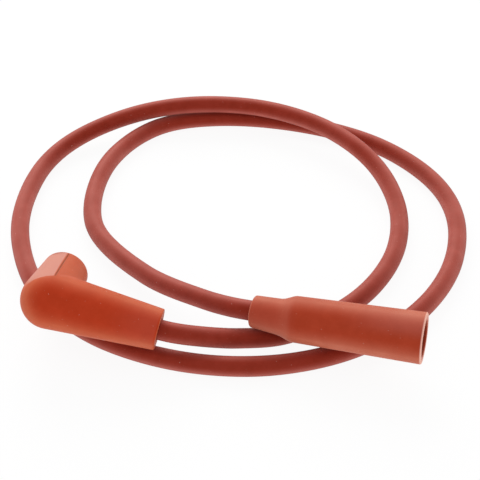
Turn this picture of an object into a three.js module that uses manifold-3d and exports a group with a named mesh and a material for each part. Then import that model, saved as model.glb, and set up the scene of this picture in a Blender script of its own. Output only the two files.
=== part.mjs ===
// An ignition cable: a silicone lead in two loose loops, with a right-angle boot on one end and a
// straight boot on the other. Each boot hides a crimped terminal with a wire clip round its socket.
// Sizes are in millimetres. The origin is the middle of the seat where the plug's tip stops inside
// the straight boot. +X runs out of that boot's mouth and +Z is up; the boot tips up a little, so
// +X is level. The cable lies on a surface that is seatHeight below the origin.
import * as THREE from 'three';
import { mergeVertices } from 'three/addons/utils/BufferGeometryUtils.js';
import Module from 'manifold-3d';

const wasm = await Module();
wasm.setup();

// Cable
const cableDiameter = 7;
const conductorDiameter = 2.4;
const jacketBore = 3;
const cableSides = 10;
const cableSteps = 80;

// Gap left between pieces that touch on the real cable
const clearance = 0.3;

// Straight boot, measured from its mouth back to the cable
const straightMouthDiameter = 17.3;
const straightShoulderDiameter = 15.7;
const straightWaistDiameter = 12.4;
const straightNeckDiameter = 11.1;
const straightBodyLength = 44.2;
const straightStepLength = 3.8;
const straightNeckLength = 10.4;
const straightNeckRound = 1.2;
const straightBore = 12.1;
const straightSeatDepth = 30;
const straightTilt = THREE.MathUtils.degToRad(3.5);
const straightNeckBend = THREE.MathUtils.degToRad(4.75);

// Right-angle boot: a tapered barrel for the cable, a round corner and a spout to the side
const elbowCornerDiameter = 19.5;
const elbowCableEndDiameter = 14.1;
const elbowBarrelLength = 37.9;
const elbowEdgeRound = 0.8;
const elbowTurn = THREE.MathUtils.degToRad(4.9);
const elbowTilt = THREE.MathUtils.degToRad(10.5);
const elbowRoll = THREE.MathUtils.degToRad(-12);
const spoutMouthDiameter = 16;
const spoutReach = 19;
const spoutBore = 10.8;
const mouthRound = 0.5;

// Terminals, drawn from thin sheet
const sheet = 0.7;
const socketBore = 6.6;
const socketLength = 8;
const crimpLength = 9;
const strippedLength = 3;
const grooveDepth = 0.3;
const grooveLength = 1.8;
const grooveFromSeat = 5;
const crimpFromCorner = 5.5;
const linkWidth = 5;
const linkOverlap = 2;
const linkDrop = 0.8;

// Wire clip round each socket
const clipWire = 0.8;
const clipOpening = THREE.MathUtils.degToRad(50);
const clipSides = 8;
const clipSteps = 28;

// Where the boots lie above the surface
const seatHeight = 15.4;
const elbowCornerPlace = new THREE.Vector3(-93.1, -19.9, 21);
const elbowLay = new THREE.Euler(elbowRoll, elbowTilt, elbowTurn, 'ZYX');

// How finely round shapes are drawn, and how far a cutting rod runs past the face it opens
const roundSides = 40;
const cornerSteps = 3;
const cutPast = 1;

const cableRadius = cableDiameter / 2;
const crimpBore = cableDiameter + 2 * clearance;
const crimpOuter = crimpBore + 2 * sheet;
const socketOuter = socketBore + 2 * sheet;

// Turns a profile about the X axis. Each point is [place along X, radius].
function turnedAboutX(profile) {
  const points = profile.map(([along, radius]) => new THREE.Vector2(radius, along));
  const geometry = new THREE.LatheGeometry(points, roundSides);
  return geometry.rotateZ(-Math.PI / 2);
}

// The same, about the Y axis
function turnedAboutY(profile) {
  return turnedAboutX(profile).rotateZ(Math.PI / 2);
}

// Points on a quarter circle that rounds the corner between two directions of a profile
function roundCorner(along, radius, size, from, to) {
  const points = [];
  for (let i = 0; i <= cornerSteps; i += 1) {
    const angle = from + ((to - from) * i) / cornerSteps;
    points.push([along + size * Math.cos(angle), radius + size * Math.sin(angle)]);
  }
  return points;
}

// The profile of a plain round rod
function rod(from, to, radius) {
  return [[from, 0], [from, radius], [to, radius], [to, 0]];
}

function solidFrom(geometry) {
  const bare = geometry.clone();
  bare.deleteAttribute('normal');
  bare.deleteAttribute('uv');
  const merged = mergeVertices(bare, 1e-4);
  const mesh = new wasm.Mesh({
    numProp: 3,
    vertProperties: new Float32Array(merged.attributes.position.array),
    triVerts: new Uint32Array(merged.index.array),
  });
  return new wasm.Manifold(mesh);
}

function geometryFrom(solid) {
  const mesh = solid.getMesh();
  const geometry = new THREE.BufferGeometry();
  geometry.setAttribute('position', new THREE.BufferAttribute(mesh.vertProperties, 3));
  geometry.setIndex(new THREE.BufferAttribute(mesh.triVerts, 1));
  geometry.computeVertexNormals();
  return geometry;
}

function part(name, geometry, material) {
  const mesh = new THREE.Mesh(geometry, material);
  mesh.name = name;
  return mesh;
}

const bootRubber = () => new THREE.MeshStandardMaterial({ color: 0xb04024, roughness: 0.55, metalness: 0 });
const cableRubber = () => new THREE.MeshStandardMaterial({ color: 0x8e2f27, roughness: 0.5, metalness: 0 });
const tinnedSteel = () => new THREE.MeshStandardMaterial({ color: 0xb9b6ad, roughness: 0.35, metalness: 1 });
const springSteel = () => new THREE.MeshStandardMaterial({ color: 0x8d8f92, roughness: 0.3, metalness: 1 });
const copper = () => new THREE.MeshStandardMaterial({ color: 0xb87547, roughness: 0.4, metalness: 1 });

// Places along the straight boot's own axis, from the seat
const straightMouth = straightSeatDepth;
const straightShoulder = straightMouth - straightBodyLength;
const straightWaist = straightShoulder - straightStepLength;
const straightNeckEnd = straightWaist - straightNeckLength;

// The neck leans to one side behind the waist, as the cable pulls it
function leanNeck(geometry) {
  const place = geometry.attributes.position;
  const cos = Math.cos(straightNeckBend);
  const sin = Math.sin(straightNeckBend);
  for (let i = 0; i < place.count; i += 1) {
    const back = place.getX(i) - straightWaist;
    if (back < 0) {
      const side = place.getY(i);
      place.setXY(i, straightWaist + back * cos + side * sin, side * cos - back * sin);
    }
  }
  return geometry;
}

function straightBootGeometry() {
  const mouth = straightMouthDiameter / 2;
  const neck = straightNeckDiameter / 2;
  const bore = straightBore / 2;
  const pocket = crimpOuter / 2 + clearance;
  const pocketStart = -sheet - clearance;
  const pocketEnd = -sheet - crimpLength - clearance;
  const cableBore = cableRadius + clearance;
  return leanNeck(turnedAboutX([
    [straightNeckEnd, cableBore],
    ...roundCorner(straightNeckEnd + straightNeckRound, neck - straightNeckRound, straightNeckRound,
      Math.PI, Math.PI / 2),
    [straightWaist, straightWaistDiameter / 2],
    [straightShoulder, straightShoulderDiameter / 2],
    ...roundCorner(straightMouth - mouthRound, mouth - mouthRound, mouthRound, Math.PI / 2, 0),
    [straightMouth, bore],
    [pocketStart, bore],
    [pocketStart, pocket],
    [pocketEnd, pocket],
    [pocketEnd, cableBore],
    [straightWaist, cableBore],
    [straightNeckEnd, cableBore],
  ]));
}

// A socket that takes the plug's tip, with a groove for the clip. The profile runs along the
// outside to the open end and back along the inside to the middle of the seat.
function socketProfile(seat) {
  const inner = socketBore / 2;
  const outer = socketOuter / 2;
  const groove = seat + grooveFromSeat;
  const half = grooveLength / 2;
  const end = seat + socketLength;
  return [
    [groove - half - grooveDepth, outer],
    [groove - half, outer - grooveDepth],
    [groove + half, outer - grooveDepth],
    [groove + half + grooveDepth, outer],
    [end, outer],
    [end, inner],
    [groove + half + grooveDepth, inner],
    [groove + half, inner - grooveDepth],
    [groove - half, inner - grooveDepth],
    [groove - half - grooveDepth, inner],
    [seat, inner],
    [seat, 0],
  ];
}

function straightTerminalGeometry() {
  const back = -sheet - crimpLength;
  return turnedAboutX([
    [-sheet, 0],
    [-sheet, crimpBore / 2],
    [back, crimpBore / 2],
    [back, crimpOuter / 2],
    [-sheet, crimpOuter / 2],
    [0, socketOuter / 2],
    ...socketProfile(0),
  ]);
}

// The clip is a wire bent round the socket's groove, open on one side
function clipGeometry() {
  const radius = socketOuter / 2 - grooveDepth + clearance + clipWire / 2;
  const path = new THREE.Curve();
  path.getPoint = (t, target = new THREE.Vector3()) => {
    const angle = clipOpening / 2 + t * (2 * Math.PI - clipOpening);
    return target.set(0, radius * Math.cos(angle), radius * Math.sin(angle));
  };
  return new THREE.ExtrudeGeometry(roundSection(clipWire / 2, clipSides), {
    extrudePath: path,
    steps: clipSteps,
    bevelEnabled: false,
    curveSegments: 1,
  });
}

function roundSection(radius, sides) {
  const corners = [];
  for (let i = 0; i < sides; i += 1) {
    const angle = (2 * Math.PI * (i + 0.5)) / sides;
    corners.push(new THREE.Vector2(radius * Math.cos(angle), radius * Math.sin(angle)));
  }
  return new THREE.Shape(corners);
}

// The end of the cable that a boot holds: its jacket, stripped short of the conductor
function jacketEndGeometry(from, to, waist) {
  return turnedAboutX([
    [from, jacketBore / 2],
    [from, cableRadius],
    [waist, cableRadius],
    [to, cableRadius],
    [to, jacketBore / 2],
    [waist, jacketBore / 2],
    [from, jacketBore / 2],
  ]);
}

function conductorEndGeometry(from, to, waist) {
  const radius = conductorDiameter / 2;
  return turnedAboutX([
    [from, 0],
    [from, radius],
    [waist, radius],
    [to, radius],
    [to, 0],
  ]);
}

function straightEnd() {
  const group = new THREE.Group();
  const stripped = -sheet - clearance;
  const jacketFront = stripped - strippedLength;
  group.add(part('straight_boot', straightBootGeometry(), bootRubber()));
  group.add(part('straight_terminal', straightTerminalGeometry(), tinnedSteel()));
  const clip = part('straight_clip', clipGeometry(), springSteel());
  clip.position.x = grooveFromSeat;
  group.add(clip);
  group.add(part('straight_cable_end',
    leanNeck(jacketEndGeometry(straightNeckEnd, jacketFront, straightWaist)), cableRubber()));
  group.add(part('straight_conductor_end',
    leanNeck(conductorEndGeometry(straightNeckEnd, stripped, straightWaist)), copper()));
  group.rotation.y = -straightTilt;
  return group;
}

// Places in the right-angle boot, from the corner where its two axes cross
const elbowPlate = crimpBore / 2 - linkDrop;
const elbowSeat = elbowPlate + sheet;
const elbowCrimpEnd = crimpFromCorner + crimpLength;
const elbowStripped = crimpFromCorner + clearance;

function elbowBootGeometry() {
  const corner = elbowCornerDiameter / 2;
  const cableEnd = elbowCableEndDiameter / 2;
  const spout = spoutMouthDiameter / 2;
  const pocket = crimpOuter / 2 + clearance;
  const cableBore = cableRadius + clearance;
  const barrel = solidFrom(turnedAboutX([
    [0, 0],
    [0, corner],
    ...roundCorner(elbowBarrelLength - elbowEdgeRound, cableEnd - elbowEdgeRound, elbowEdgeRound,
      Math.PI / 2, 0),
    [elbowBarrelLength, 0],
  ]));
  const spoutBody = solidFrom(turnedAboutY([
    [0, 0],
    [0, corner],
    ...roundCorner(spoutReach - mouthRound, spout - mouthRound, mouthRound, Math.PI / 2, 0),
    [spoutReach, 0],
  ]));
  const ball = solidFrom(new THREE.SphereGeometry(corner, roundSides, roundSides / 2));
  const crimpPocket = solidFrom(turnedAboutX(rod(-pocket, elbowCrimpEnd + clearance, pocket)));
  const cableHole = solidFrom(turnedAboutX(rod(0, elbowBarrelLength + cutPast, cableBore)));
  const spoutHole = solidFrom(turnedAboutY(
    rod(elbowPlate - clearance, spoutReach + cutPast, spoutBore / 2)));
  const outer = barrel.add(ball).add(spoutBody);
  return geometryFrom(outer.subtract(crimpPocket).subtract(cableHole).subtract(spoutHole));
}

// The right-angle terminal: a socket along the spout, a crimp along the barrel and a flat link
function elbowTerminalGeometry() {
  const socket = solidFrom(turnedAboutY([
    [elbowPlate, 0],
    [elbowPlate, socketOuter / 2],
    ...socketProfile(elbowSeat),
  ]));
  const crimp = solidFrom(turnedAboutX([
    [crimpFromCorner, crimpBore / 2],
    [crimpFromCorner, crimpOuter / 2],
    [elbowCrimpEnd, crimpOuter / 2],
    [elbowCrimpEnd, crimpBore / 2],
    [crimpFromCorner, crimpBore / 2],
  ]));
  const linkEnd = crimpFromCorner + linkOverlap;
  const linkBox = new THREE.BoxGeometry(linkEnd, sheet, linkWidth);
  linkBox.translate(linkEnd / 2, elbowPlate + sheet / 2, 0);
  return geometryFrom(socket.add(solidFrom(linkBox)).add(crimp));
}

function elbowEnd() {
  const group = new THREE.Group();
  group.add(part('elbow_boot', elbowBootGeometry(), bootRubber()));
  group.add(part('elbow_terminal', elbowTerminalGeometry(), tinnedSteel()));
  const clip = part('elbow_clip', clipGeometry(), springSteel());
  clip.position.y = elbowSeat + grooveFromSeat;
  clip.rotation.z = Math.PI / 2;
  group.add(clip);
  const jacketFront = elbowStripped + strippedLength;
  group.add(part('elbow_cable_end',
    jacketEndGeometry(jacketFront, elbowBarrelLength, elbowBarrelLength / 2), cableRubber()));
  group.add(part('elbow_conductor_end',
    conductorEndGeometry(elbowStripped, elbowBarrelLength, elbowBarrelLength / 2), copper()));
  group.position.copy(elbowCornerPlace);
  group.position.z -= seatHeight;
  group.rotation.copy(elbowLay);
  return group;
}

// The free run of the cable between the boots. The middle points are chosen by hand to follow the
// photograph, with heights above the surface; the two ends meet the boots.
const runPoints = [
  [-53.0, -16.35, 13.5], [-49.2, -15.2, 12.4], [-44.4, -12.9, 10.6], [-38.3, -9.4, 8.1],
  [-31.6, -5.5, 5.9], [-18.4, 2.2, 3.7], [-4.3, 15.9, 3.6], [6.4, 34.5, 3.5],
  [11.2, 57.6, 3.6], [8.0, 80.3, 4.5], [-2.2, 98.6, 7.1], [-16.0, 110.4, 9.9],
  [-35.3, 120.3, 10.9], [-61.5, 124.7, 10.9], [-89.3, 118.5, 10.9], [-110.9, 106.5, 9.3],
  [-128.2, 90.4, 5.6], [-135.1, 72.5, 3.8], [-133.0, 45.1, 3.55], [-124.6, 22.9, 3.5],
  [-107.3, 0.2, 3.5], [-81.3, -14.8, 3.5], [-50.0, -19.1, 3.5], [-20.0, -13.2, 3.5],
  [4.9, 1.5, 3.5], [23.5, 24.1, 3.5], [32.5, 52.7, 3.5], [30.0, 82.6, 3.5],
  [18.0, 103.8, 3.5], [-6.8, 121.2, 3.5], [-40.0, 128.1, 3.5], [-77.9, 122.9, 3.5],
  [-100.3, 109.1, 3.5], [-111.0, 80.0, 3.55], [-102.3, 41.0, 3.9], [-73.0, 16.1, 6.7],
  [-47.2, 4.7, 11.0], [-36.5, 1.6, 12.9],
];

function cableRun() {
  const out = new THREE.Vector3(1, 0, 0).applyEuler(elbowLay);
  const start = elbowCornerPlace.clone().addScaledVector(out, elbowBarrelLength + clearance);
  const waist = new THREE.Vector3(straightWaist, 0, 0);
  const lean = new THREE.Vector3(-Math.cos(straightNeckBend), Math.sin(straightNeckBend), 0);
  const end = waist.addScaledVector(lean, straightNeckLength + clearance);
  end.applyAxisAngle(new THREE.Vector3(0, 1, 0), -straightTilt);
  end.z += seatHeight;
  const middle = runPoints.map(([x, y, z]) => new THREE.Vector3(x, y, z));
  const path = new THREE.CatmullRomCurve3([start, ...middle, end], false, 'centripetal');
  const run = part('cable_run', new THREE.ExtrudeGeometry(roundSection(cableRadius, cableSides), {
    extrudePath: path,
    steps: cableSteps,
    bevelEnabled: false,
    curveSegments: 1,
  }), cableRubber());
  run.position.z = -seatHeight;
  return run;
}

const ignitionCable = new THREE.Group();
ignitionCable.add(straightEnd());
ignitionCable.add(elbowEnd());
ignitionCable.add(cableRun());

export default ignitionCable;
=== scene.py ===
# %% [markdown]
# # An ignition cable
#
# A car's ignition cable carries the spark from the coil to a plug. This one is a red-brown silicone lead
# about 0.92 m long. A right-angle boot sits on one end and a straight boot on the other, and the lead lies
# on a white table in two loose loops. The imported CAD model is loaded first. The pieces that are made here lie
# where its solids lie and have their sizes, and the other solids are shown as they are.

# %% Load the frame
import math

import bmesh
import bpy
import numpy as np
from mathutils import Euler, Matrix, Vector


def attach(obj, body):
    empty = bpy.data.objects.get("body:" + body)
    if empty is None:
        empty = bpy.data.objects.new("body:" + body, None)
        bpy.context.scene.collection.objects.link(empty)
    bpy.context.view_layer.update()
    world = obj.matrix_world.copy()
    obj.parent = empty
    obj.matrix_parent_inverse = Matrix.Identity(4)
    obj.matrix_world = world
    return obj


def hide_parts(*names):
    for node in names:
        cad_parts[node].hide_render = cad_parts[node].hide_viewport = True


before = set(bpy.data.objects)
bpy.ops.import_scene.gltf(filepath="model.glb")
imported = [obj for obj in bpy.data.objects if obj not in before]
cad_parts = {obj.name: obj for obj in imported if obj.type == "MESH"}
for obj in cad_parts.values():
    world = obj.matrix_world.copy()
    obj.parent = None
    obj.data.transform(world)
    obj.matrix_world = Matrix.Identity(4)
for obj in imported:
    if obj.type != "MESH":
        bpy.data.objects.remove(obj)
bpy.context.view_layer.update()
print("nodes:", ", ".join(sorted(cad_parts)))

# %% [markdown]
# ## The camera
#
# The photograph looks down at about 40 degrees. The width of the lead near and far, and the round ends of
# the boots, gave a picture about 23 degrees wide, taken from 0.45 m away. The camera is aimed at the point
# on the lead's centre height that falls in the middle of the picture. A camera looks along its own
# -Z axis, so a quaternion that turns -Z to the view direction is all that it needs.

# %% Make the camera
TABLE_Z = -0.0154
LEAD_RADIUS = 0.0035
PICTURE_MIDDLE = Vector((-0.04616, 0.0474, TABLE_Z + LEAD_RADIUS))
VIEW_SIDE = math.radians(15.81)
VIEW_DOWN = math.radians(40.0)
VIEW_DISTANCE = 0.4485
PICTURE_ANGLE = math.radians(22.78)
SENSOR = 36.0

camera_data = bpy.data.cameras.new("camera")
camera_data.sensor_width = SENSOR
camera_data.lens = SENSOR / 2 / math.tan(PICTURE_ANGLE / 2)
camera = bpy.data.objects.new("camera", camera_data)
bpy.context.scene.collection.objects.link(camera)
to_camera = Vector((
    math.sin(VIEW_SIDE) * math.cos(VIEW_DOWN),
    -math.cos(VIEW_SIDE) * math.cos(VIEW_DOWN),
    math.sin(VIEW_DOWN),
))
camera.location = PICTURE_MIDDLE + VIEW_DISTANCE * to_camera
camera.rotation_mode = "QUATERNION"
camera.rotation_quaternion = (-to_camera).to_track_quat("-Z", "Y")
bpy.context.scene.camera = camera
print(f"lens {camera_data.lens:.1f} mm, camera at {tuple(round(v, 4) for v in camera.location)}")

# %% [markdown]
# ## Small helpers for meshes
#
# Every piece that is made here is nearly round in section, so two helpers make them all. One joins a list of
# rings, each with the same number of points, into a closed skin. The other sets a ring of points round a
# centre. Building the skin ring by ring gives clean four-sided faces that run along the piece and shade
# smoothly, which a boolean of solids would not.

# %% Join rings of points into a closed skin
def turn_outwards(mesh):
    work = bmesh.new()
    work.from_mesh(mesh)
    bmesh.ops.recalc_face_normals(work, faces=work.faces)
    work.to_mesh(mesh)
    work.free()


def skin(name, rings, looped=False):
    """Capped at its two ends, or looped where the last ring joins the first."""
    rings = np.asarray(rings, float)
    count, sides = rings.shape[:2]
    faces = []
    for row in range(count if looped else count - 1):
        here = row * sides
        there = (row + 1) % count * sides
        for k in range(sides):
            after = (k + 1) % sides
            faces.append((here + k, here + after, there + after, there + k))
    if not looped:
        faces.append(tuple(reversed(range(sides))))
        faces.append(tuple(range((count - 1) * sides, count * sides)))
    mesh = bpy.data.meshes.new(name)
    mesh.from_pydata(rings.reshape(-1, 3).tolist(), [], faces)
    piece = bpy.data.objects.new(name, mesh)
    bpy.context.scene.collection.objects.link(piece)
    turn_outwards(mesh)
    mesh.shade_smooth()
    return piece


print("helpers made: turn_outwards and skin")

# %% Set points round a centre
ALONG = np.array([1.0, 0.0, 0.0])
ACROSS = np.array([0.0, 1.0, 0.0])
UP = np.array([0.0, 0.0, 1.0])


def ring(centre, side, up, radius, angles):
    """radius is one number, or one for each angle, counted from side towards up."""
    around = np.cos(angles)[:, None] * side + np.sin(angles)[:, None] * up
    return np.asarray(centre) + np.reshape(radius, (-1, 1)) * around


def even_angles(count):
    return np.linspace(0.0, 2.0 * math.pi, count, endpoint=False)


square = ring((0, 0, 0), ALONG, ACROSS, 1.0, even_angles(4))
print("four points round a centre:", square.round(3).tolist())

# %% [markdown]
# ## The lead's route
#
# These are the route's points from the CAD source, in metres, with heights above the table. The lead leaves
# the right-angle boot, goes under the straight boot, climbs over its own second loop at the far side and
# comes down on the left. It passes under the right-angle boot's barrel, makes the second loop and rises to
# the straight boot's neck. A centripetal Catmull-Rom curve goes through each point without overshooting
# where the points are uneven, and it is the same curve that the CAD model uses, so the two lie on each
# other. The line then goes 2 mm further at each end, into the boots, so that no gap shows where the lead
# enters them.

# %% The points of the route
ROUTE = np.array([
    (-0.05568, -0.0167, 0.01404), (-0.0530, -0.01635, 0.0135), (-0.0492, -0.0152, 0.0124),
    (-0.0444, -0.0129, 0.0106), (-0.0383, -0.0094, 0.0081), (-0.0316, -0.0055, 0.0059),
    (-0.0184, 0.0022, 0.0037), (-0.0043, 0.0159, 0.0036), (0.0064, 0.0345, 0.0035),
    (0.0112, 0.0576, 0.0036), (0.0080, 0.0803, 0.0045), (-0.0022, 0.0986, 0.0071),
    (-0.0160, 0.1104, 0.0099), (-0.0353, 0.1203, 0.0109), (-0.0615, 0.1247, 0.0109),
    (-0.0893, 0.1185, 0.0109), (-0.1109, 0.1065, 0.0093), (-0.1282, 0.0904, 0.0056),
    (-0.1351, 0.0725, 0.0038), (-0.1330, 0.0451, 0.00355), (-0.1246, 0.0229, 0.0035),
    (-0.1073, 0.0002, 0.0035), (-0.0813, -0.0148, 0.0035), (-0.0500, -0.0191, 0.0035),
    (-0.0200, -0.0132, 0.0035), (0.0049, 0.0015, 0.0035), (0.0235, 0.0241, 0.0035),
    (0.0325, 0.0527, 0.0035), (0.0300, 0.0826, 0.0035), (0.0180, 0.1038, 0.0035),
    (-0.0068, 0.1212, 0.0035), (-0.0400, 0.1281, 0.0035), (-0.0779, 0.1229, 0.0035),
    (-0.1003, 0.1091, 0.0035), (-0.1110, 0.0800, 0.00355), (-0.1023, 0.0410, 0.0039),
    (-0.0730, 0.0161, 0.0067), (-0.0472, 0.0047, 0.0110), (-0.0365, 0.0016, 0.0129),
    (-0.02861, 0.0009, 0.01366),
])
ROUTE[:, 2] += TABLE_Z
print(f"{len(ROUTE)} points on the route")

# %% The smooth curve through them
def through(points, steps):
    """Points on the centripetal Catmull-Rom curve, steps of them between each two."""
    ends = [2 * points[0] - points[1], *points, 2 * points[-1] - points[-2]]
    out = []
    for before, here, there, after in zip(ends, ends[1:], ends[2:], ends[3:]):
        gap_before, gap, gap_after = (
            math.sqrt(np.linalg.norm(b - a)) for a, b in ((before, here), (here, there), (there, after))
        )
        leave = (here - before) / gap_before - (there - before) / (gap_before + gap) + (there - here) / gap
        arrive = (there - here) / gap - (after - here) / (gap + gap_after) + (after - there) / gap_after
        leave, arrive = leave * gap, arrive * gap
        for t in np.arange(steps) / steps:
            curve = here + leave * t + (-3 * here + 3 * there - 2 * leave - arrive) * t**2
            out.append(curve + (2 * here - 2 * there + leave + arrive) * t**3)
    out.append(points[-1])
    return np.array(out)


def evenly(line, spacing):
    """The same line with points at even distances along it."""
    along = np.concatenate([[0.0], np.cumsum(np.linalg.norm(np.diff(line, axis=0), axis=1))])
    marks = np.linspace(0.0, along[-1], int(round(along[-1] / spacing)) + 1)
    return np.stack([np.interp(marks, along, line[:, k]) for k in range(3)], axis=1)


print("through three points in steps of four:", len(through(np.eye(3), steps=4)), "points")

# %% Draw the lead's middle line
RING_SPACING = 0.0015
BOOT_OVERLAP = 0.002

centreline = evenly(through(ROUTE, steps=40), RING_SPACING)
first_way = centreline[0] - centreline[1]
last_way = centreline[-1] - centreline[-2]
centreline = np.concatenate([
    [centreline[0] + BOOT_OVERLAP * first_way / np.linalg.norm(first_way)],
    centreline,
    [centreline[-1] + BOOT_OVERLAP * last_way / np.linalg.norm(last_way)],
])
lead_length = np.linalg.norm(np.diff(centreline, axis=0), axis=1).sum()
print(f"lead {lead_length:.4f} m along its middle, in {len(centreline)} rings")

# %% [markdown]
# ## The lead
#
# The lead is a silicone jacket 7 mm thick. It could be a curve with a bevel. A mesh tube is used instead,
# because each of its rings can then have a radius of its own. The rings are carried along the line without
# twisting: each one turns only as far as the line does, so the faces run straight along the jacket. Silicone
# leads are soft, and real ones are never perfectly even, so the radius varies by a few hundredths of a
# millimetre along the way.

# %% Carry a ring along a line
LEAD_SIDES = 32


def carried_rings(line, radius_at, sides):
    """A ring at each point of the line, turned no further than the line turns."""
    ways = np.gradient(line, axis=0)
    ways /= np.linalg.norm(ways, axis=1)[:, None]
    side = np.cross(ways[0], UP)
    side /= np.linalg.norm(side)
    rings = []
    for k, (centre, way) in enumerate(zip(line, ways)):
        side = side - way * np.dot(side, way)
        side /= np.linalg.norm(side)
        rings.append(ring(centre, side, np.cross(way, side), radius_at(k), even_angles(sides)))
    return rings


print(f"rings of {LEAD_SIDES} points, {2000 * LEAD_RADIUS:.0f} mm across")

# %% Make the lead
LEAD_UNEVEN = 0.00003
SLOW_WAVE, QUICK_WAVE = 61, 143


def lead_radius(k):
    """Two sine waves of unlike length make the radius wander between its full size and 0.06 mm less."""
    along = k * RING_SPACING
    return LEAD_RADIUS - LEAD_UNEVEN * (1 + math.sin(along * SLOW_WAVE) * math.sin(along * QUICK_WAVE + 1))


lead = skin("lead", carried_rings(centreline, lead_radius, LEAD_SIDES))
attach(lead, "root")
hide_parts("cable_run")
print(f"lead: {len(lead.data.vertices)} points")

# %% [markdown]
# ## The straight boot
#
# The straight boot slides over a plug. Its form is turned: a neck that grips the lead, a short cone that
# steps up to the body, and a body that widens a little to the open mouth. Real moulds leave no sharp
# corners, so the profile is rounded at each corner with a small radius before it is turned. The neck leans
# by almost 5 degrees where the lead pulls it, so the rings follow an axis that bends behind the waist.

# %% Round the corners of a profile
CORNER_SHARE = 0.45


def rounded(profile, steps=5):
    """profile has (along, out, corner radius) in millimetres. Each corner becomes a short arc."""
    points = [np.array(p[:2], float) for p in profile]
    out = [points[0]]
    for before, here, after, (_, _, size) in zip(points, points[1:], points[2:], profile[1:]):
        if size <= 0:
            out.append(here)
            continue
        back, on = before - here, after - here
        reach = min(size, CORNER_SHARE * np.linalg.norm(back), CORNER_SHARE * np.linalg.norm(on))
        start = here + reach * back / np.linalg.norm(back)
        end = here + reach * on / np.linalg.norm(on)
        for t in np.linspace(0.0, 1.0, steps + 1):
            out.append((1 - t) ** 2 * start + 2 * t * (1 - t) * here + t**2 * end)
    out.append(points[-1])
    return np.array(out)


def split_long(profile, longest):
    """The same profile with points added on its long stretches."""
    out = [profile[0]]
    for a, b in zip(profile, profile[1:]):
        pieces = max(1, int(math.ceil(np.linalg.norm(b - a) / longest)))
        out.extend(a + (b - a) * k / pieces for k in range(1, pieces + 1))
    return np.array(out)


def smooth_step(x):
    """0 below 0, 1 above 1 and a soft rise between."""
    x = np.clip(x, 0.0, 1.0)
    return x * x * (3 - 2 * x)


print("a square's corner becomes", len(rounded([(0, 0, 0), (0, 1, 0.3), (1, 1, 0)])) - 2, "points")

# %% The straight boot's own axis
STRAIGHT_TILT = math.radians(3.5)
NECK_LEAN = math.radians(4.75)
WAIST = -18.0
LEAN_HALF = 2.5
AXIS_FROM, AXIS_TO, MARK_STEP = 30.5, -32.0, 0.05

lean_marks = np.arange(AXIS_FROM, AXIS_TO, -MARK_STEP)
lean_angle = NECK_LEAN * smooth_step((WAIST + LEAN_HALF - lean_marks) / (2 * LEAN_HALF))
axis_x = lean_marks[0] - np.concatenate([[0.0], np.cumsum(MARK_STEP * np.cos(lean_angle[:-1]))])
axis_y = np.concatenate([[0.0], np.cumsum(MARK_STEP * np.sin(lean_angle[:-1]))])


def straight_place(points):
    """From the straight boot's millimetres, along, to the side and up, to the row frame in metres."""
    along, side, up = np.asarray(points, float).T
    x = along * math.cos(STRAIGHT_TILT) - up * math.sin(STRAIGHT_TILT)
    z = along * math.sin(STRAIGHT_TILT) + up * math.cos(STRAIGHT_TILT)
    return np.stack([x, side, z], axis=1) / 1000


def straight_ring(along, radius, angles):
    x = np.interp(-along, -lean_marks, axis_x)
    y = np.interp(-along, -lean_marks, axis_y)
    lean = np.interp(-along, -lean_marks, lean_angle)
    side = np.array([math.sin(lean), math.cos(lean), 0.0])
    return straight_place(ring((x, y, 0.0), side, UP, radius, angles))


NECK_END, MOUTH = -28.4, 30.0
neck_middle = straight_ring(NECK_END, 1.0, even_angles(8)).mean(axis=0)
print("middle of the neck's end, in mm:", np.round(neck_middle * 1000, 2))

# %% [markdown]
# The profile starts deep in the bore that holds the lead, comes out over the lip, runs along the outside to
# the mouth and goes back down the bore that takes the plug. Two soft ribs inside the mouth seal on the plug.
# Each place is its distance along the boot, its distance out and its corner's radius, in millimetres. A fine
# raised line runs along the boot on two sides, where the halves of the mould met.

# %% The straight boot's profile and mould lines
STRAIGHT_PROFILE = [
    (-11.5, 0.02, 0), (-11.5, 3.53, 0), (-27.7, 3.53, 0.5), (NECK_END, 4.05, 0.4), (NECK_END, 5.5, 1.3),
    (-18.2, 6.17, 1.6), (-14.2, 7.85, 1.1), (MOUTH, 8.65, 0.55), (MOUTH, 6.2, 0.35), (27.2, 6.05, 0.4),
    (26.6, 5.75, 0.5), (26.0, 6.05, 0.4), (23.2, 6.05, 0.4), (22.6, 5.75, 0.5), (22.0, 6.05, 0.4),
    (-1.0, 6.05, 0), (-1.0, 4.85, 0), (-10.0, 4.85, 0), (-10.0, 0.02, 0),
]
BOOT_SIDES = 96
MOULD_LINES = (math.radians(38), math.radians(218))
LINE_WIDTH, LINE_HEIGHT = 0.02, 0.05


def turned_by(angle, other):
    """How far one angle is from another, the short way round."""
    return np.abs((angle - other + math.pi) % (2 * math.pi) - math.pi)


def near_line(angles, lines, width):
    """1 on a mould line, fading to 0 at width from it, in radians."""
    away = np.min([turned_by(angles, line) for line in lines], axis=0)
    return np.clip(1.0 - away / width, 0.0, 1.0)


def finer_near(angles, lines, width):
    """Adds three close angles at each mould line, so that the line has edges to stand on."""
    extra = [line + k * width for line in lines for k in (-1, 0, 1)]
    kept = [angle for angle in angles if min(turned_by(angle, close) for close in extra) > width]
    return np.sort(np.mod(np.array(kept + extra), 2 * math.pi))


straight_angles = finer_near(even_angles(BOOT_SIDES), MOULD_LINES, LINE_WIDTH)
print(f"{len(straight_angles)} points round the boot, for {len(MOULD_LINES)} mould lines")
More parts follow.
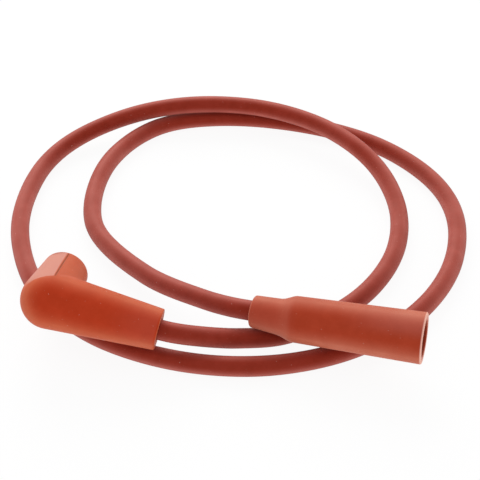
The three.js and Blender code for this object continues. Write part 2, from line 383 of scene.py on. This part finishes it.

# %% [markdown]
# Silicone isn't one even colour, and light and shade are painted onto this boot as well. The rim of the mouth
# is worn pale and painted with a highlight, the mould lines are paler as flash is and painted with a highlight,
# the lip of the neck is paler with a painted highlight, the top near the mouth has a painted sheen, and the
# neck is a little paler. The bores are darkened with painted shade. One number for each point holds this, the
# tone: above 0 the skin is pale, above 1 it passes into the palest salmon of a worn edge with a painted
# highlight, and below 0 it is painted shade. It is worked out from the profile while the rings are made, so it
# needs no unwrapping and no image, and the material reads it later.

# %% Paint a tone on the points
def paint(piece, tone):
    """tone has one number for each point of the piece."""
    piece.data.attributes.new("tone", "FLOAT", "POINT")
    piece.data.attributes["tone"].data.foreach_set("value", np.ravel(tone).astype(float))


OUTSIDE_FROM, OUTSIDE_TO = -28.0, 29.4
BETWEEN_AT_NECK, BETWEEN_SLOPE = 5.0, 0.05


def on_outside(along, radius):
    """A slanting line runs inside the boot's wall. The bores lie under it and the outside above it."""
    between = BETWEEN_AT_NECK + BETWEEN_SLOPE * (along - OUTSIDE_FROM)
    return OUTSIDE_FROM < along < OUTSIDE_TO and radius > between


print("outside at the body and in the bore:", on_outside(10.0, 8.3), on_outside(10.0, 6.05))

# %% The straight boot's tone
BORE_RADIUS, EDGE_RADIUS = 6.3, 7.9
FACE_FROM, EDGE_FROM, LIP_TO = 29.7, 29.6, -28.2
# The rim of the mouth and the lip of the neck are worn pale and painted with a highlight.
RIM_FACE, RIM_EDGE, NECK_LIP = 0.7, 1.1, 0.35
# Painted shade darkens the bore, where little light reaches.
BORE_SHADE_FROM, BORE_SHADE_TO, BORE_PAINTED_SHADE = -12.0, 29.0, -0.75
# A painted sheen makes the top near the mouth paler.
TOP_PAINTED_SHEEN, TOP_SHEEN_FULL = 0.18, 24.0
TOP_MIDDLE, TOP_HALF, TOP_FADE = math.radians(100), math.radians(48), math.radians(34)
# The neck is a little paler.
NECK_PALER, NECK_PALER_FROM, NECK_PALER_FADE = 0.07, -12.0, 3.0
# The mould lines are paler, as moulding flash is, and painted with a highlight where edges catch light from
# below.
LINE_FLASH_AND_HIGHLIGHT, LINE_HIGHLIGHT_WIDTH = 0.5, 0.05

painted_sheen_top = smooth_step((TOP_HALF - np.abs(straight_angles - TOP_MIDDLE)) / TOP_FADE)
flash_and_highlight_line = LINE_FLASH_AND_HIGHLIGHT * near_line(straight_angles, MOULD_LINES, LINE_HIGHLIGHT_WIDTH)


def straight_tone_at(along, radius):
    """The tone of one ring, for each of its angles."""
    # Worn pale rim and neck lip, with a painted highlight.
    lip = RIM_FACE * (along > FACE_FROM and radius > BORE_RADIUS)
    lip += RIM_EDGE * (along > EDGE_FROM and radius > EDGE_RADIUS)
    lip += NECK_LIP * (along < LIP_TO)
    # Painted shade in the bore.
    deep = BORE_PAINTED_SHADE * (radius < BORE_RADIUS and BORE_SHADE_FROM < along < BORE_SHADE_TO)
    # Painted sheen on the top near the mouth.
    paler = TOP_PAINTED_SHEEN * (radius > BORE_RADIUS) * smooth_step(along / TOP_SHEEN_FULL) * painted_sheen_top
    # A little paler on the neck.
    paler = paler + NECK_PALER * smooth_step((NECK_PALER_FROM - along) / NECK_PALER_FADE)
    # Mould lines paler as flash is, with a painted highlight.
    paler = paler + on_outside(along, radius) * flash_and_highlight_line
    return lip + deep + (lip == 0.0) * paler


edge_tone, bore_tone = straight_tone_at(29.9, 8.5)[0], straight_tone_at(10.0, 6.05)[0]
print(f"tone {edge_tone:.2f} on the rim's edge and {bore_tone:.2f} in the bore")

# %% Turn the straight boot
LONGEST_STEP = 2.0
line_height = LINE_HEIGHT * near_line(straight_angles, MOULD_LINES, LINE_WIDTH)
straight_rings, straight_tone = [], []
for along, radius in split_long(rounded(STRAIGHT_PROFILE), LONGEST_STEP):
    raised = radius + on_outside(along, radius) * line_height
    straight_rings.append(straight_ring(along, raised, straight_angles))
    straight_tone.append(straight_tone_at(along, radius))
straight_boot = skin("straight_boot_skin", straight_rings)
paint(straight_boot, straight_tone)
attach(straight_boot, "root")
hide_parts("straight_boot")
print(f"straight boot: {len(straight_boot.data.vertices)} points")

# %% [markdown]
# ## The right-angle boot
#
# This boot is one smooth moulding: a tapered barrel for the lead, a ball at the corner and a spout that
# turns away to the side. A boolean of three solids would leave a hard crease on the inner corner. So the
# form is written as a distance instead: how far a point lies outside the barrel, the ball or the spout,
# blended where they meet at an angle. Rings are fanned round the bend, and each point of a ring is moved
# out from the middle until the distance is zero. The skin then has clean rings and a soft inner corner.

# %% The right-angle boot's form as a distance
BALL = 9.75
BARREL_END, BARREL_END_RADIUS = 37.9, 7.05
SPOUT_END, SPOUT_END_RADIUS = 19.0, 8.0
TINY = 1e-9


def taper_angle(reach, radius):
    """The slope of the straight side that touches the ball and passes the end at that radius."""
    return math.atan2(reach, radius) - math.acos(BALL / math.hypot(reach, radius))


BARREL_SLOPE = taper_angle(BARREL_END, BARREL_END_RADIUS)
SPOUT_SLOPE = taper_angle(SPOUT_END, SPOUT_END_RADIUS)


def cone_distance(along, across, slope):
    """Distance to a round-ended cone and the direction it grows in: along the axis and out from it."""
    on_side = along * math.cos(slope) - across * math.sin(slope) > 0
    far = np.maximum(np.hypot(along, across), TINY)
    distance = np.where(on_side, along * math.sin(slope) + across * math.cos(slope), far) - BALL
    grows_along = np.where(on_side, math.sin(slope), along / far)
    grows_out = np.where(on_side, math.cos(slope), across / far)
    return distance, grows_along, grows_out


print(f"sides slope {math.degrees(BARREL_SLOPE):.1f} and {math.degrees(SPOUT_SLOPE):.1f} degrees")

# %% Blend the barrel and the spout
INNER_CORNER = 4.0
LEAST_BLEND = 1e-6


def elbow_distance(p):
    """Distance to the blend of both. Where they face the same way, as on the ball, nothing is blended."""
    x, y, z = p[..., 0], p[..., 1], p[..., 2]
    from_x, from_y = np.maximum(np.hypot(y, z), TINY), np.maximum(np.hypot(x, z), TINY)
    barrel, barrel_along, barrel_out = cone_distance(x, from_x, BARREL_SLOPE)
    spout, spout_along, spout_out = cone_distance(y, from_y, SPOUT_SLOPE)
    facing = (
        barrel_along * spout_out * x / from_y
        + barrel_out * y / from_x * spout_along
        + barrel_out * spout_out * z * z / (from_x * from_y)
    )
    blend = INNER_CORNER * np.clip(1 - facing, 0, 1) ** 1.5 + LEAST_BLEND
    closer = np.clip(0.5 + 0.5 * (spout - barrel) / blend, 0, 1)
    return spout * (1 - closer) + barrel * closer - blend * closer * (1 - closer)


inner_corner = elbow_distance(np.array([BALL, BALL, 0.0]))
print(f"a point {BALL} mm along both arms is {inner_corner:.2f} mm from the skin")

# %% [markdown]
# The skin is found ring by ring. On each ring, rays go out from the middle, and halving the stretch in which
# the distance changes sign finds the skin on each ray. The rings stand square to the barrel first, then fan
# round a pivot outside the inner corner, then stand square to the spout.

# %% Find the skin on rays
PIVOT = 13.0
BEYOND = 22.0
HALVINGS = 34
BARREL_RINGS, BEND_RINGS, SPOUT_RINGS = 18, 61, 8
BARREL_JOIN, SPOUT_JOIN = BARREL_END - 0.8, SPOUT_END - 0.5


def on_form(centre, side, angles):
    """Radius of the form and its ray for each angle, in the plane of side and the boot's own up."""
    rays = np.cos(angles)[:, None] * side + np.sin(angles)[:, None] * UP
    near, far = np.zeros(len(angles)), np.full(len(angles), BEYOND)
    for _ in range(HALVINGS):
        middle = (near + far) / 2
        outside = elbow_distance(centre + middle[:, None] * rays) > 0
        near, far = np.where(outside, near, middle), np.where(outside, middle, far)
    return near, rays


def bend_planes():
    """Centre, side direction and turn round the bend in radians, for each ring of the outside."""
    planes = [(x * ALONG, ACROSS, 0.0) for x in np.linspace(BARREL_JOIN, PIVOT, BARREL_RINGS)]
    for turn in np.radians(np.linspace(0, 90, BEND_RINGS)[1:]):
        out = np.array([math.sin(turn), math.cos(turn), 0.0])
        planes.append((np.array([PIVOT, PIVOT, 0.0]) - PIVOT * out, out, turn))
    spout_steps = np.linspace(PIVOT, SPOUT_JOIN, SPOUT_RINGS)[1:]
    return planes + [(y * ACROSS, ALONG, math.pi / 2) for y in spout_steps]


print(f"{len(bend_planes())} rings, ball {2 * on_form(0 * UP, -ALONG, np.zeros(1))[0][0]:.2f} mm thick")

# %% [markdown]
# The mould line along the top of the spout is a narrow groove that starts at the edge of the corner and runs
# straight to the mouth. In the fan the rings' middles wander, so each ring's angles are shifted until one of
# them lies on the line. Beyond the line the flank is nearly flat and stands a little proud, because the two
# halves of a mould never meet quite level.

# %% Bring the rings' angles onto the mould line
SPOUT_LINE = math.radians(88.0)
SPOUT_LINES = (SPOUT_LINE, -SPOUT_LINE)
LINE_X = 0.3
LINE_SPACING = 0.022
LINE_FROM_TURN = math.radians(44)
SHIFT_REACH = 1.2
elbow_angles = finer_near(even_angles(BOOT_SIDES), SPOUT_LINES, LINE_SPACING)
past_line = elbow_angles - SPOUT_LINE


def line_angle(centre, side, turn):
    """The angle at which a ring meets the straight mould line, or None before the line starts."""
    trial = np.radians(np.linspace(60, 150, 91))
    radius, rays = on_form(centre, side, trial)
    x = (centre + radius[:, None] * rays)[:, 0]
    if turn > LINE_FROM_TURN and x.min() < LINE_X < x.max():
        return float(np.interp(-LINE_X, -x, trial))
    return None


def ring_shifts(planes):
    """How far each ring's angles turn at the line. Before the line starts, the shift grows with the bend."""
    found = [line_angle(*plane) for plane in planes]
    first = next(k for k, angle in enumerate(found) if angle is not None)
    return [
        (found[first] - SPOUT_LINE) * turn / planes[first][2] if angle is None else angle - SPOUT_LINE
        for (_, _, turn), angle in zip(planes, found)
    ]


signed = (elbow_angles + math.pi) % (2 * math.pi) - math.pi
shift_share = np.sign(signed) * np.clip(1 - np.abs(np.abs(signed) - SPOUT_LINE) / SHIFT_REACH, 0, 1)
largest_shift = max(abs(shift) for shift in ring_shifts(bend_planes()))
print(f"angles shifted by up to {math.degrees(largest_shift):.1f} degrees")

# %% Make the rings of the outside
EDGE_Y, EDGE_SLOPE, EDGE_BEFORE, EDGE_WIDTH = 0.2, 0.37, 0.3, 0.7
GROOVE_DEPTH, GROOVE_WIDTH = 0.25, 0.021
FLAT_HALF = math.radians(28.0)
FLATNESS = 0.35
PROUD, PROUD_RISE, PROUD_TO, PROUD_FADE = 0.05, 0.05, 1.0, 0.9


def on_spout(points):
    """1 on the spout's side of the edge where it leaves the corner, 0 on the ball and the barrel."""
    past_edge = points[:, 1] - EDGE_Y - EDGE_SLOPE * points[:, 0]
    return smooth_step((past_edge + EDGE_BEFORE) / EDGE_WIDTH)


def outside_rings():
    """Rings on the form. On the spout the flank is flattened and the mould line is cut in."""
    groove = near_line(elbow_angles, SPOUT_LINES, GROOVE_WIDTH)
    proud = smooth_step(past_line / PROUD_RISE) * smooth_step((PROUD_TO - past_line) / PROUD_FADE)
    from_flat = np.minimum(np.abs(past_line - FLAT_HALF), FLAT_HALF)
    flat = 1 - np.cos(FLAT_HALF) / np.cos(from_flat)
    planes = bend_planes()
    rings = []
    for (centre, side, _), shift in zip(planes, ring_shifts(planes)):
        radius, rays = on_form(centre, side, elbow_angles + shift * shift_share)
        spout = on_spout(centre + radius[:, None] * rays)
        radius = radius * (1 - FLATNESS * spout * flat) + spout * (PROUD * proud - GROOVE_DEPTH * groove)
        rings.append(centre + radius[:, None] * rays)
    return rings


outer_rings = outside_rings()
print(f"{len(outer_rings)} rings of {len(elbow_angles)} points")

# %% [markdown]
# The spout's flat flank is paler with a painted highlight, the spout has a painted sheen, and its mould line is
# darkened with painted shade. The barrel is a little paler towards the lead. The tone fades out where the spout
# passes into the back of the barrel, so that no border shows there.

# %% The right-angle boot's tone
# The spout's flank is paler with a painted highlight, the spout has a painted sheen, and the groove of its
# mould line is darkened with painted shade.
FLANK_PAINTED_HIGHLIGHT, FLANK_RISE, FLANK_TO, FLANK_FADE = 0.9, 0.02, 1.35, 0.3
SPOUT_PAINTED_SHEEN, SPOUT_TO, SPOUT_FADE = 0.1, 13.0, 4.0
GROOVE_PAINTED_SHADE, GROOVE_SHADE_WIDTH = 1.3, 0.030
# The barrel is a little paler towards the lead.
BARREL_PALER, BARREL_PALER_FROM, BARREL_PALER_RISE = 0.08, 18.0, 18.0


def outside_tone(points):
    """The tone of one ring of the outside, for each of its points."""
    x = points[:, 0]
    flank = smooth_step((past_line - GROOVE_WIDTH) / FLANK_RISE)
    flank = flank * smooth_step((FLANK_TO - past_line) / FLANK_FADE)
    line = near_line(elbow_angles, (SPOUT_LINE,), GROOVE_SHADE_WIDTH)
    spout = on_spout(points) * smooth_step((SPOUT_TO - x) / SPOUT_FADE)
    paler = BARREL_PALER * smooth_step((x - BARREL_PALER_FROM) / BARREL_PALER_RISE)
    # Painted highlight on the flank, painted sheen on the spout and painted shade in the groove.
    return spout * (FLANK_PAINTED_HIGHLIGHT * flank + SPOUT_PAINTED_SHEEN - GROOVE_PAINTED_SHADE * line) + paler


outer_tone = [outside_tone(points) for points in outer_rings]
print(f"tone from {np.min(outer_tone):.2f} in the line to {np.max(outer_tone):.2f} on the flank")

# %% [markdown]
# The two ends are turned like the straight boot's: the bore for the lead with its lip, and the mouth with one
# soft rib. The whole boot is then laid in its place, turned, tilted and rolled as in the CAD model.

# %% Turn the boot's two ends
def end_rings(profile, axis, side):
    """Rings square to axis for a profile of (along, out)."""
    return [ring(along * axis, side, UP, out, elbow_angles) for along, out in profile]


cable_end = rounded([
    (9.0, 0.02, 0), (9.0, 3.53, 0), (BARREL_END - 0.6, 3.53, 0.4), (BARREL_END, 4.0, 0.3),
    (BARREL_END, BARREL_END_RADIUS, 0.8), (BARREL_JOIN, BARREL_END_RADIUS + 0.03, 0),
])[:-1]
spout_end = rounded([
    (SPOUT_JOIN, SPOUT_END_RADIUS + 0.05, 0), (SPOUT_END, SPOUT_END_RADIUS, 0.5), (SPOUT_END, 5.6, 0.3),
    (SPOUT_END - 1.9, 5.4, 0.4), (SPOUT_END - 2.5, 5.1, 0.4), (SPOUT_END - 3.1, 5.4, 0.4),
    (2.7, 5.4, 0), (2.7, 0.02, 0),
])[1:]
BORE_STEP = 2.5
cable_rings = end_rings(split_long(cable_end, BORE_STEP), ALONG, ACROSS)
mouth_rings = end_rings(split_long(spout_end, LONGEST_STEP), ACROSS, ALONG)
print(f"{len(cable_rings)} rings at the lead's end, {len(mouth_rings)} at the mouth")

# %% Lay the boot in its place
ELBOW_TURN = math.radians(4.9)
ELBOW_TILT = math.radians(10.5)
ELBOW_ROLL = math.radians(-12.0)
ELBOW_LAY = np.array(Euler((ELBOW_ROLL, ELBOW_TILT, ELBOW_TURN), "XYZ").to_matrix())
ELBOW_CORNER = np.array([-93.1, -19.9, 5.6])
# The mouth's lip is worn pale and painted with a highlight, and its bore is darkened with painted shade.
MOUTH_LIP_RINGS, MOUTH_LIP_WEAR_AND_HIGHLIGHT, MOUTH_BORE_SHADE = 6, 0.6, -0.7


def elbow_place(points):
    """From the right-angle boot's millimetres to the row frame in metres."""
    return (np.asarray(points, float) @ ELBOW_LAY.T + ELBOW_CORNER) / 1000


all_rings = cable_rings + outer_rings + mouth_rings
elbow_boot = skin("elbow_boot_skin", [elbow_place(points) for points in all_rings])
bore_rings = len(mouth_rings) - MOUTH_LIP_RINGS
mouth_tone = [MOUTH_LIP_WEAR_AND_HIGHLIGHT] * MOUTH_LIP_RINGS + [MOUTH_BORE_SHADE] * bore_rings
paint(elbow_boot, [
    *np.zeros((len(cable_rings), len(elbow_angles))),
    *outer_tone,
    *[np.full(len(elbow_angles), tone) for tone in mouth_tone],
])
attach(elbow_boot, "root")
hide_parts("elbow_boot")
print(f"right-angle boot: {len(elbow_boot.data.vertices)} points")

# %% [markdown]
# ## The held ends of the lead
#
# Each boot holds the last stretch of the lead, with its jacket cut back from the conductor. They are hardly
# ever seen, but they make the model whole when a boot is cut open. They are turned like the boots, and end
# a little inside them, where the free lead takes over.

# %% Turn the held ends
JACKET_INNER, JACKET_OUTER = 1.5, 3.47


def jacket_profile(back, front):
    """A closed outline from back to front, with soft outer corners and the last point left off."""
    return split_long(rounded([
        (back, JACKET_INNER, 0), (back, JACKET_OUTER, 0.2), (front, JACKET_OUTER, 0.35),
        (front, JACKET_INNER, 0), (back, JACKET_INNER, 0),
    ]), BORE_STEP)[:-1]


held_angles = even_angles(LEAD_SIDES)
straight_jacket = skin("straight_jacket", [
    straight_ring(along, out, held_angles) for along, out in jacket_profile(back=-26.35, front=-4.0)
], looped=True)
elbow_jacket = skin("elbow_jacket", [
    elbow_place(ring(along * ALONG, ACROSS, UP, out, held_angles))
    for along, out in jacket_profile(back=BARREL_END - 2.05, front=8.8)
], looped=True)
for held, node in ((straight_jacket, "straight_cable_end"), (elbow_jacket, "elbow_cable_end")):
    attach(held, "root")
    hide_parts(node)
print("held ends:", len(straight_jacket.data.vertices), "and", len(elbow_jacket.data.vertices), "points")

# %% [markdown]
# ## Silicone
#
# Moulded silicone is soft and satin. It looks deep orange-red where it faces the eye, and paler at a slant,
# where its fine dusting of powder catches the light. Everything is made from the shader's own inputs and
# noises in the piece's own space, so nothing has to be unwrapped. First come small helpers, most of which
# make one node and give back its output.

# %% Node helpers
def new_material(name):
    material = bpy.data.materials.new(name)
    material.use_nodes = True
    nodes = material.node_tree.nodes
    return material, nodes, material.node_tree.links, nodes["Principled BSDF"]


def noise(nodes, links, place, scale, detail=3.0):
    texture = nodes.new("ShaderNodeTexNoise")
    texture.inputs["Scale"].default_value = scale
    texture.inputs["Detail"].default_value = detail
    texture.inputs["Roughness"].default_value = 0.55
    links.new(place, texture.inputs["Vector"])
    return texture.outputs["Fac"]


def spread(nodes, links, value, low, high, start=0.0, end=1.0):
    """Maps start to end onto low to high."""
    mapper = nodes.new("ShaderNodeMapRange")
    mapper.inputs["From Min"].default_value = start
    mapper.inputs["From Max"].default_value = end
    mapper.inputs["To Min"].default_value = low
    mapper.inputs["To Max"].default_value = high
    links.new(value, mapper.inputs["Value"])
    return mapper.outputs["Result"]


def combined(nodes, links, operation, first, second):
    """Two numbers made one, such as their product or the larger of them."""
    maths = nodes.new("ShaderNodeMath")
    maths.operation = operation
    links.new(first, maths.inputs[0])
    links.new(second, maths.inputs[1])
    return maths.outputs["Value"]


print("helpers made: new_material, noise, spread and combined")

# %% Helpers for colours and the grain
def ramp(nodes, links, value, stops):
    """stops are (place, colour) pairs."""
    band = nodes.new("ShaderNodeValToRGB")
    elements = band.color_ramp.elements
    for element, (at, colour) in zip(elements, (stops[0], stops[-1])):
        element.position, element.color = at, (*colour, 1.0)
    for at, colour in stops[1:-1]:
        elements.new(at).color = (*colour, 1.0)
    links.new(value, band.inputs["Fac"])
    return band.outputs["Color"]


def mix_colour(nodes, links, share, first, second):
    """The first colour, passing into the second, which is a plain one, as share goes from 0 to 1."""
    mixer = nodes.new("ShaderNodeMix")
    mixer.data_type = "RGBA"
    links.new(share, mixer.inputs["Factor"])
    links.new(first, mixer.inputs["A"])
    mixer.inputs["B"].default_value = second
    return mixer.outputs["Result"]


def add_bump(nodes, links, shader, height, strength, distance):
    bump = nodes.new("ShaderNodeBump")
    bump.inputs["Strength"].default_value = strength
    bump.inputs["Distance"].default_value = distance
    links.new(height, bump.inputs["Height"])
    links.new(bump.outputs["Normal"], shader.inputs["Normal"])


print("helpers made: ramp, mix_colour and add_bump")

# %% [markdown]
# One noise varies the colour a little, and a few sparse specks stand for dust. The tone painted on each point
# then makes the skin paler on a lip, a flank or a top, with painted highlights and sheen, palest on a worn edge
# that is painted with a highlight too, and darker with painted shade in a bore or in the groove of the
# right-angle boot's mould line.

# %% The silicone's colour
DUST = (0.62, 0.38, 0.33, 1.0)
# The pale colour carries paler patches with painted highlights and sheen, the worn colour worn edges with a
# painted highlight, and the shaded colour painted shade.
PALE_AND_HIGHLIT = (0.53, 0.215, 0.185, 1.0)
WORN_AND_HIGHLIT = (0.86, 0.50, 0.40, 1.0)
SHADED = (0.11, 0.022, 0.014, 1.0)
BLACK, WHITE = (0.0, 0.0, 0.0), (1.0, 1.0, 1.0)


def toned(nodes, links, colour):
    """The colour, made paler or darker by the tone painted on the points, which holds painted highlights, sheen
    and shade.
    """
    painted = nodes.new("ShaderNodeAttribute")
    painted.attribute_name = "tone"
    tone = painted.outputs["Fac"]
    pale_share = spread(nodes, links, tone, 0.0, 1.0)
    worn_and_highlit = spread(nodes, links, tone, 0.0, 1.0, start=1.0, end=2.0)
    shaded = spread(nodes, links, tone, 1.0, 0.0, start=-1.0, end=0.0)
    for share, other in ((pale_share, PALE_AND_HIGHLIT), (worn_and_highlit, WORN_AND_HIGHLIT), (shaded, SHADED)):
        colour = mix_colour(nodes, links, share, colour, other)
    return colour


def silicone_colour(nodes, links, place, deep, bright):
    mottle = noise(nodes, links, place, scale=260.0)
    mottled = ramp(nodes, links, mottle, [(0.3, deep), (0.7, bright)])
    speck = noise(nodes, links, place, scale=2100.0, detail=1.0)
    specks = ramp(nodes, links, speck, [(0.77, BLACK), (0.82, WHITE)])
    return toned(nodes, links, mix_colour(nodes, links, specks, mottled, DUST))


print("helpers made: toned and silicone_colour")

# %% [markdown]
# Sheen on the shader gives the pale edge, and a ramp over the slant decides how much of it shows from face-on
# to grazing. A broad noise makes it uneven, as on a piece that has been handled.

# %% The silicone's pale edge
SHEEN_BY_SLANT = ((0.06, 0.0), (0.22, 0.5), (0.42, 1.0), (0.65, 0.75))


def sheen_weight(nodes, links, place, sheen, rim):
    """rim is the share of the sheen that is left where the skin is seen at a full slant."""
    slant = nodes.new("ShaderNodeLayerWeight")
    slant.inputs["Blend"].default_value = 0.5
    greys = [(at, (share * sheen,) * 3) for at, share in (*SHEEN_BY_SLANT, (1.0, rim))]
    by_slant = ramp(nodes, links, slant.outputs["Facing"], greys)
    broad = noise(nodes, links, place, scale=75.0, detail=2.0)
    handled = spread(nodes, links, broad, low=0.45, high=1.55)
    return combined(nodes, links, "MULTIPLY", by_slant, handled)


print("sheen is fullest at a slant of", max(SHEEN_BY_SLANT, key=lambda stop: stop[1])[0])

# %% [markdown]
# The boots and the lead share the recipe and differ in colour, grain and sheen. A fine noise gives both the
# gloss and the grain of the skin. The lead is the deepest of the three, and the straight boot is duller than
# the right-angle one.

# %% The silicone's recipe
def silicone(name, deep, bright, grain, sheen, rim, tint):
    material, nodes, links, shader = new_material(name)
    place = nodes.new("ShaderNodeTexCoord").outputs["Object"]
    skin_grain = noise(nodes, links, place, grain, detail=4.0)
    links.new(silicone_colour(nodes, links, place, deep, bright), shader.inputs["Base Color"])
    links.new(spread(nodes, links, skin_grain, low=0.42, high=0.58), shader.inputs["Roughness"])
    links.new(sheen_weight(nodes, links, place, sheen, rim), shader.inputs["Sheen Weight"])
    shader.inputs["Sheen Roughness"].default_value = 0.75
    shader.inputs["Sheen Tint"].default_value = tint
    shader.inputs["Specular IOR Level"].default_value = 0.12
    shader.inputs["Specular Tint"].default_value = (1.0, 0.45, 0.28, 1.0)
    add_bump(nodes, links, shader, skin_grain, strength=0.25, distance=0.00006)
    return material


print("helper made: silicone")

# %% Make the three silicones
elbow_silicone = silicone(
    "boot silicone", deep=(0.415, 0.035, 0.010), bright=(0.455, 0.041, 0.013),
    grain=2600.0, sheen=0.51, rim=0.4, tint=(1.0, 0.42, 0.20, 1.0),
)
straight_silicone = silicone(
    "duller boot silicone", deep=(0.355, 0.039, 0.015), bright=(0.39, 0.046, 0.019),
    grain=2600.0, sheen=0.65, rim=0.4, tint=(1.0, 0.46, 0.30, 1.0),
)
lead_silicone = silicone(
    "lead silicone", deep=(0.235, 0.023, 0.012), bright=(0.27, 0.029, 0.017),
    grain=3400.0, sheen=0.62, rim=0.1, tint=(1.0, 0.38, 0.32, 1.0),
)
for piece, material in (
    (straight_boot, straight_silicone), (elbow_boot, elbow_silicone),
    (lead, lead_silicone), (straight_jacket, lead_silicone), (elbow_jacket, lead_silicone),
):
    piece.data.materials.append(material)
    print(f"{piece.name}: {material.name}")

# %% [markdown]
# ## Metal
#
# The terminals are pressed from tinned steel sheet, the clips are bright spring wire, and the conductor of
# such a lead is fine stranded copper, here one plain cylinder at each end, hidden in a boot. Metal shows
# mostly what it mirrors, so its look comes from small changes in gloss and a little stain.

# %% Make the metals
def metal(name, dull, clean, low, high):
    """dull and clean are the colours of stained and bare metal, low and high the limits of its roughness."""
    material, nodes, links, shader = new_material(name)
    place = nodes.new("ShaderNodeTexCoord").outputs["Object"]
    stain = noise(nodes, links, place, scale=420.0, detail=5.0)
    scratches = noise(nodes, links, place, scale=2400.0)
    links.new(ramp(nodes, links, stain, [(0.35, dull), (0.65, clean)]), shader.inputs["Base Color"])
    links.new(spread(nodes, links, scratches, low, high), shader.inputs["Roughness"])
    shader.inputs["Metallic"].default_value = 1.0
    add_bump(nodes, links, shader, scratches, strength=0.15, distance=0.00003)
    return material


tinned_steel = metal("tinned steel", (0.50, 0.48, 0.45), (0.66, 0.64, 0.61), low=0.24, high=0.42)
spring_wire = metal("spring wire", (0.42, 0.43, 0.45), (0.58, 0.59, 0.61), low=0.18, high=0.30)
copper = metal("copper", (0.60, 0.30, 0.17), (0.80, 0.43, 0.26), low=0.25, high=0.40)
for node, material in (
    ("straight_terminal", tinned_steel), ("elbow_terminal", tinned_steel),
    ("straight_clip", spring_wire), ("elbow_clip", spring_wire),
    ("straight_conductor_end", copper), ("elbow_conductor_end", copper),
):
    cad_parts[node].material_slots[0].material = material
    print(f"{node}: {material.name}")

# %% [markdown]
# ## Table and light
#
# The cable lies on a white table in a white room, with one soft light behind it that brightens the tops. In
# the photograph the white table throws much light back up under the cable. So for light that bounces, the
# table is partly plain diffuse white and partly a glow a little stronger than the white that it shows. For
# the camera, and in mirrors and glass, nearly all of its colour is plain white of strength 1, so that it
# stays white and still shows a faint shadow where the cable touches it. The room shows plain white too, and
# lights the cable with a little less than that.

# %% Tell the rays that are seen from the rest
def seen_rays(nodes, links):
    """1 for rays from the camera and for what mirrors and glass show, 0 for light that bounces."""
    ray = nodes.new("ShaderNodeLightPath").outputs
    mirrored = combined(nodes, links, "MAXIMUM", ray["Is Glossy Ray"], ray["Is Transmission Ray"])
    return combined(nodes, links, "MAXIMUM", ray["Is Camera Ray"], mirrored)


print("helper made: seen_rays")

# %% Make the table
TABLE_HALF = 4.0
GLOW_SHARE, SEEN_GLOW_SHARE = 0.6, 0.92
GLOW, SEEN_GLOW = 1.3, 1.0


def white_table():
    material, nodes, links, _ = new_material("white table")
    nodes.clear()
    seen = seen_rays(nodes, links)
    plain = nodes.new("ShaderNodeBsdfDiffuse")
    plain.inputs["Color"].default_value = (0.95, 0.95, 0.95, 1.0)
    glow = nodes.new("ShaderNodeEmission")
    links.new(spread(nodes, links, seen, GLOW, SEEN_GLOW), glow.inputs["Strength"])
    both = nodes.new("ShaderNodeMixShader")
    links.new(spread(nodes, links, seen, GLOW_SHARE, SEEN_GLOW_SHARE), both.inputs["Fac"])
    links.new(plain.outputs[0], both.inputs[1])
    links.new(glow.outputs[0], both.inputs[2])
    links.new(both.outputs[0], nodes.new("ShaderNodeOutputMaterial").inputs["Surface"])
    return material


corners = [(x * TABLE_HALF, y * TABLE_HALF, TABLE_Z) for x, y in ((-1, -1), (1, -1), (1, 1), (-1, 1))]
table_mesh = bpy.data.meshes.new("table")
table_mesh.from_pydata(corners, [], [(0, 1, 2, 3)])
table = bpy.data.objects.new("table", table_mesh)
bpy.context.scene.collection.objects.link(table)
table_mesh.materials.append(white_table())
print(f"table {2 * TABLE_HALF:.0f} m wide, its top at {TABLE_Z} m")

# %% Light the scene from behind
def soft_light(name, place, size, power):
    data = bpy.data.lights.new(name, "AREA")
    data.shape = "SQUARE"
    data.size = size
    data.energy = power
    lamp = bpy.data.objects.new(name, data)
    lamp.location = place
    lamp.rotation_mode = "QUATERNION"
    lamp.rotation_quaternion = (PICTURE_MIDDLE - Vector(place)).to_track_quat("-Z", "Y")
    bpy.context.scene.collection.objects.link(lamp)
    return lamp


back_light = soft_light("back light", place=(-0.4, 0.75, 0.6), size=0.7, power=6.0)
print(f"back light of {back_light.data.energy:.0f} W, {back_light.data.size:.1f} m wide")

# %% Make the white room
ROOM, SEEN_ROOM = 0.82, 1.0

world = bpy.data.worlds.new("white room")
world.use_nodes = True
bpy.context.scene.world = world
nodes, links = world.node_tree.nodes, world.node_tree.links
background = nodes["Background"]
background.inputs["Color"].default_value = (1.0, 1.0, 1.0, 1.0)
links.new(spread(nodes, links, seen_rays(nodes, links), ROOM, SEEN_ROOM), background.inputs["Strength"])
bpy.context.scene.view_settings.view_transform = "Standard"
print(f"the room gives {ROOM} of the white that it shows")
